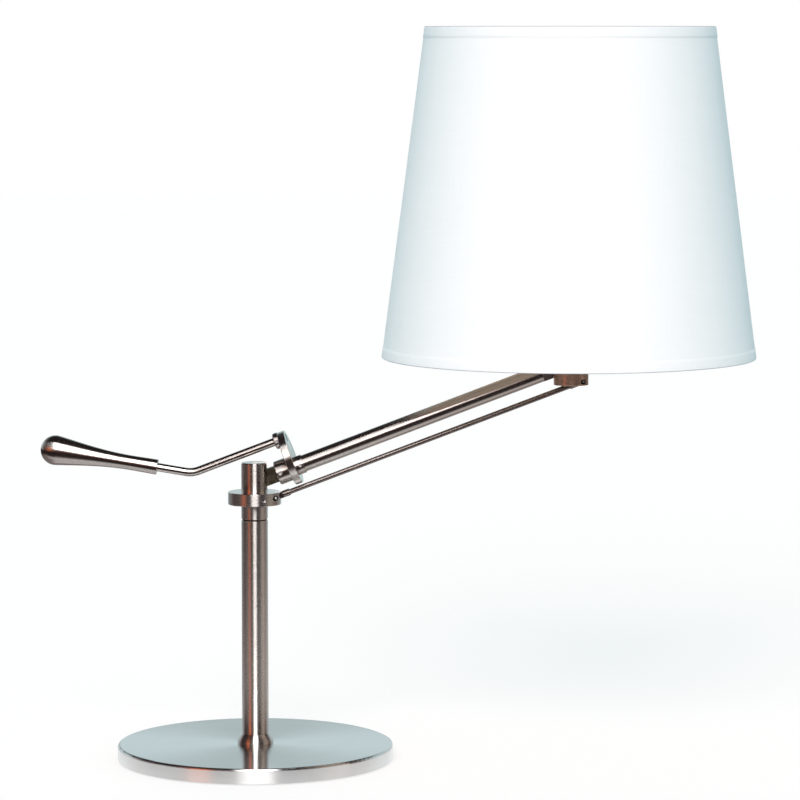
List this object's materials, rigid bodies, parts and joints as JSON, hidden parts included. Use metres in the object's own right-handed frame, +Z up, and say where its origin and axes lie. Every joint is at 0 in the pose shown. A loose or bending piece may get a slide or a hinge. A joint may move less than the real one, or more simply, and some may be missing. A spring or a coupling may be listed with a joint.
{
  "type": "balance-arm table lamp",
  "caption": "Table lamp with a round weighted base, a swivelling head, a counterbalanced parallel arm that pitches, and a tapered fabric shade that stays level.",
  "frame": {"origin": "centre of the round base's underside, on the column's axis, on the table", "axes": "+Z up along the column, +X from the column towards the shade in the arm's plane, +Y to the rear"},
  "size_m": [0.671, 0.35, 0.69],
  "materials": {
    "satin_nickel": "satin brushed nickel plate",
    "satin_nickel_base": "satin brushed nickel plate, turned",
    "bright_steel": "bright ground steel",
    "zinc_steel": "zinc plated",
    "cast_iron": "black painted casting",
    "felt": "black felt",
    "rubber": "matt black",
    "brass": "plain",
    "bush_bronze": "dark sintered bronze",
    "nylon": "black nylon",
    "socket_plastic": "white moulded thermoset",
    "white_wire": "white powder coat",
    "shade_fabric": "white linen laminated on a stiff sheet",
    "shade_tape": "white folded linen tape",
    "opal_glass": "opal white"
  },
  "bodies": {
    "base": {"base_cover": "satin_nickel_base", "base_weight": "cast_iron", "base_felt": "felt", "cord_grommet": "rubber", "foot_washer": "zinc_steel", "foot_nut": "zinc_steel", "foot_nipple": "zinc_steel", "foot_plug": "zinc_steel", "foot_collar": "satin_nickel", "column_tube": "satin_nickel", "column_bush": "bush_bronze", "thrust_washer_top": "nylon"},
    "swivel_head": {"pivot_head": "satin_nickel", "arm_pivot_pin": "bright_steel", "thrust_washer_bottom": "nylon", "swivel_nut": "zinc_steel", "link_collar": "satin_nickel", "link_pin_lower": "bright_steel", "collar_grub_screw": "bright_steel"},
    "arm": {"arm_tongue": "satin_nickel", "arm_pivot_washers": "nylon", "arm_hub": "satin_nickel", "hub_set_screw": "bright_steel", "offset_disc": "satin_nickel", "arm_tube": "satin_nickel", "arm_ferrule": "satin_nickel", "ferrule_set_screw": "bright_steel", "arm_end_plug": "satin_nickel", "counterweight_rod": "satin_nickel", "rod_boss": "satin_nickel", "boss_set_screw": "bright_steel", "counterweight_handle": "satin_nickel"},
    "link": {"link_rod": "satin_nickel", "link_eye_lower": "satin_nickel", "link_eye_upper": "satin_nickel"},
    "lamp_head": {"shade_clevis": "satin_nickel", "shade_pivot_pin": "bright_steel", "shade_pivot_washers": "nylon", "link_pin_upper": "bright_steel", "link_spacers": "bright_steel", "socket_nipple": "zinc_steel", "nipple_locknut": "zinc_steel", "socket_cup": "socket_plastic", "socket_body": "socket_plastic", "socket_screw_shell": "brass", "socket_contact": "brass", "shade_clamp_ring": "socket_plastic", "bulb_cap": "brass", "bulb_globe": "opal_glass", "shade_spider": "white_wire", "shade_wire_bottom": "white_wire", "shade_wire_top": "white_wire", "shade_skin": "shade_fabric", "shade_trim_bottom": "shade_tape", "shade_trim_top": "shade_tape"},
    "switch": {"switch_knob": "socket_plastic"}
  },
  "joints": [
    {"name": "head_swivel", "type": "hinge", "parent": "base", "child": "swivel_head", "pos_m": [0, 0, 0.2282], "axis": [0, 0, 1], "range_deg": [-165, 165]},
    {"name": "arm_pitch", "type": "hinge", "parent": "swivel_head", "child": "arm", "pos_m": [0.0056, 0, 0.2655], "axis": [0, -1, 0], "range_deg": [-6, 40]},
    {"name": "link_pitch", "type": "hinge", "parent": "swivel_head", "child": "link", "pos_m": [0.0207, 0, 0.2495], "axis": [0, -1, 0], "range_deg": [-6, 40]},
    {"name": "shade_level", "type": "hinge", "parent": "arm", "child": "lamp_head", "pos_m": [0.29296, 0, 0.37581], "axis": [0, -1, 0], "range_deg": [-40, 6]},
    {"name": "switch_turn", "type": "hinge", "parent": "lamp_head", "child": "switch", "pos_m": [0.2945, -0.02, 0.408], "axis": [0, -1, 0], "continuous": true}
  ],
  "couplings": [
    {"joint": "link_pitch", "follows": "arm_pitch", "ratio": 1},
    {"joint": "shade_level", "follows": "arm_pitch", "ratio": -1}
  ]
}
